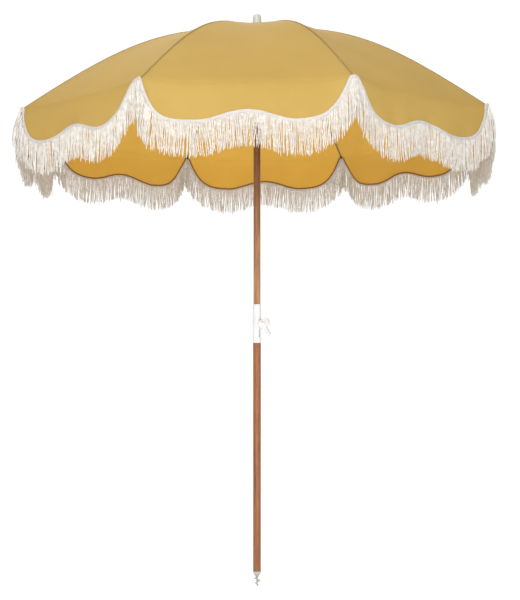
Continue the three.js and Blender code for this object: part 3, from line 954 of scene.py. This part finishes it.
def add_rib(rib):
    """A rib's bar, the plate that hangs below it at its stretcher's joint, and the pin through that."""
    stations = np.concatenate([np.linspace(26.5 * MM, 280 * MM, 12), np.linspace(290 * MM, 560 * MM, 26),
                               np.linspace(600 * MM, 941 * MM, 10)])
    line = np.stack([stations, np.zeros(len(stations)), dome_z(stations) - RIB_BELOW], -1)
    piece = sweep(f"rib_bar_{rib}", in_rib(rib, line), circle(RIB_RAD, 14))
    dress(piece, STEEL, f"rib_{rib}", "zinc_steel", f"rib_{rib}")
    elbow = np.array(JOINTS[f"stretcher_fold_{rib}"]["pos_m"])
    out = math.hypot(elbow[0], elbow[1])
    deep = dome_z(out) - RIB_BELOW - elbow[2]
    outline = [(-6, 2.5), (6, 2.5), (6, -deep / MM), (4.2, -deep / MM - 4.2), (0, -deep / MM - 6),
               (-4.2, -deep / MM - 4.2), (-6, -deep / MM)]
    corners = len(outline)
    face = np.array(outline) * MM + [out, dome_z(out) - RIB_BELOW]
    verts = np.concatenate([np.stack([face[:, 0], np.full(corners, y), face[:, 1]], -1)
                            for y in (-2 * MM, 2 * MM)])
    faces = [list(range(corners)), list(range(2 * corners - 1, corners - 1, -1))]
    for k in range(corners):
        after = (k + 1) % corners
        faces.append([k, corners + k, corners + after, after])
    plate = mesh_object(f"rib_plate_{rib}", in_rib(rib, verts), faces)
    smoothed(plate, 0.5 * MM)
    dress(plate, STEEL, f"rib_{rib}", "zinc_steel")
    pin = cross_pin(f"rib_pin_{rib}", out, elbow[2], 5.6 * MM, 1.6 * MM, rib)
    dress(pin, STEEL, f"rib_{rib}", "zinc_steel")


def cross_pin(name, r, z, half, rad, rib):
    """A rivet across a rib's plane, with domed heads."""
    head = [(rad, half), (rad * 1.8, half), (rad * 1.2, half + 0.8 * MM), (0, half + 1 * MM)]
    profile = [(r_at, -z_at) for r_at, z_at in head[::-1]] + head
    piece = lathe(name, profile, sides=20, closed=False)
    points = np.array([v.co[:] for v in piece.data.vertices])
    placed = in_rib(rib, np.stack([points[:, 0] + r, points[:, 2], points[:, 1] + z], -1))
    piece.data.vertices.foreach_set("co", placed.ravel())
    piece.data.update()
    tidy_normals(piece)
    return piece


# ---- Rigid pieces ---------------------------------------------------------------------------------
BODY_OF = {name: body for body, names in BEHAVIOUR["bodies"].items() for name in names}
SLOT_OF = {entry["node"]: entry["material_slot"] for entry in frame["record"]["subparts"]}

LOWER_BORE = 14.35          # radius in millimetres
UPPER_BORE = 12.4
# Where the slot's painted shade lies: just outside the collar, below the knob.
SLIT_RAD = 17.28 * MM       # just outside the collar
SLIT_TURN = (-64, -46)      # degrees round the pole
SLIT_HEIGHT = (1008 * MM, 1041 * MM)


def smoothed(piece, width, steps=3, sharp=34):
    """Rounds a piece's edges that are sharper than sharp degrees."""
    bm = bmesh.new()
    bm.from_mesh(piece.data)
    bmesh.ops.remove_doubles(bm, verts=bm.verts, dist=1e-5)
    bmesh.ops.dissolve_limit(bm, angle_limit=math.radians(1.0), verts=bm.verts, edges=bm.edges)
    bm.to_mesh(piece.data)
    bm.free()
    modifier = piece.modifiers.new("edges", "BEVEL")
    modifier.width = width
    modifier.segments = steps
    modifier.limit_method = "ANGLE"
    modifier.angle_limit = math.radians(sharp)
    bpy.context.view_layer.update()
    graph = bpy.context.evaluated_depsgraph_get()
    made = bpy.data.meshes.new_from_object(piece.evaluated_get(graph))
    piece.modifiers.clear()
    piece.data = made
    tidy_normals(piece, 50)


def finer(name, material, width):
    """A copy of a CAD piece with rounded edges stands for it."""
    source = frame["nodes"][name]
    piece = bpy.data.objects.new(f"{name}_made", source.data.copy())
    bpy.context.scene.collection.objects.link(piece)
    piece.matrix_world = source.matrix_world.copy()
    smoothed(piece, width)
    dress(piece, material, BODY_OF[name], SLOT_OF[name], name)


def turned(name, profile, material, sides=96, rad=0.6 * MM):
    """A turned piece of finer profile, in millimetres, stands for a CAD piece."""
    outline = rounded([np.array(p) * MM for p in profile + profile[:1]], rad)
    piece = lathe(f"{name}_made", outline, sides)
    dress(piece, material, BODY_OF[name], SLOT_OF[name], name)


def add_painted_slot_shade():
    """A thin grey sheet just outside the collar below the knob: painted shade for the slot where the clamp closes
    on the pole.
    """
    turns = np.radians(np.linspace(*SLIT_TURN, 12))
    turn, up = np.meshgrid(turns, np.linspace(*SLIT_HEIGHT, 8), indexing="ij")
    points = np.stack([SLIT_RAD * np.cos(turn), SLIT_RAD * np.sin(turn), up], -1)
    inner = points * [0.985, 0.985, 1]
    verts = np.concatenate([points.reshape(-1, 3), inner.reshape(-1, 3)])
    rows, cols = turn.shape
    faces = np.concatenate([grid_quads(rows, cols), grid_quads(rows, cols, rows * cols, flip=True),
                            rim_quads(rows, cols)])
    piece = mesh_object("clamp_slot", verts, faces)
    tidy_normals(piece)
    dress(piece, SHADED, "lower_mast", "white_plastic")


def add_poles():
    for name, bore, wood in (("lower_pole", LOWER_BORE, WOOD_LOWER), ("upper_pole", UPPER_BORE, WOOD_UPPER)):
        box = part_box(name)
        rad = (box[1][0] - box[0][0]) / 2 / MM
        low, high = box[0][2] / MM, box[1][2] / MM
        turned(name, [[bore, low], [rad, low], [rad, high], [bore, high]], wood, rad=0.8 * MM)


def add_sleeve():
    """The sleeve of the collar, with a shallow groove round it."""
    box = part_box("collar_sleeve")
    low, high = box[0][2] / MM, box[1][2] / MM
    outside = [[16.5, low], [17.15, low + 1.4], [17.15, low + 12], [16.9, low + 12.6], [16.9, low + 14],
               [17.15, low + 14.6], [17.15, high - 6], [16.05, high]]
    turned("collar_sleeve", [[LOWER_BORE, low]] + outside + [[LOWER_BORE, high]], WHITE)


def add_finial():
    """The cap over the crown: a stem in the hub, a flange on the cloth and a tapered top."""
    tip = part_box("finial")[1][2] / MM
    base = dome_z(0.0) / MM + 0.35
    tall = tip - base
    stem = [[0.01, base - 34], [7.65, base - 34], [7.65, base]]
    flange = [[21, base], [21.5, base + 3], [18.5, base + 9]]
    top = [[17.6, base + 0.45 * tall], [16.2, base + 0.8 * tall], [13, base + 0.92 * tall],
           [6, base + 0.95 * tall], [5, base + 0.985 * tall], [0.01, tip]]
    turned("finial", stem + flange + top, FINIAL_WHITE_PAINTED_SHADE, sides=64, rad=1.5 * MM)


def add_rigid_pieces():
    add_poles()
    add_sleeve()
    add_finial()
    finer("collar_clamp", WHITE, 0.5 * MM)
    add_painted_slot_shade()
    finer("clamp_knob", WHITE, 1.2 * MM)
    finer("sand_auger", AUGER_WHITE_PAINTED_SHADE, 0.3 * MM)
    finer("runner", WHITE, 0.5 * MM)
    finer("crown_hub", WHITE, 0.5 * MM)
    finer("clamp_screw", STEEL, 0.4 * MM)
    finer("runner_catch", STEEL, 0.3 * MM)
    for rib in range(1, RIBS + 1):
        finer(f"stretcher_{rib}", STEEL, 0.5 * MM)
        finer(f"rib_cap_{rib}", DARK, 0.4 * MM)


add_camera()
add_stage()
add_rigid_pieces()
for rib_number in range(1, RIBS + 1):
    add_rib(rib_number)
    add_seam(rib_number)
for one_bay in BAYS:
    add_bay(one_bay)
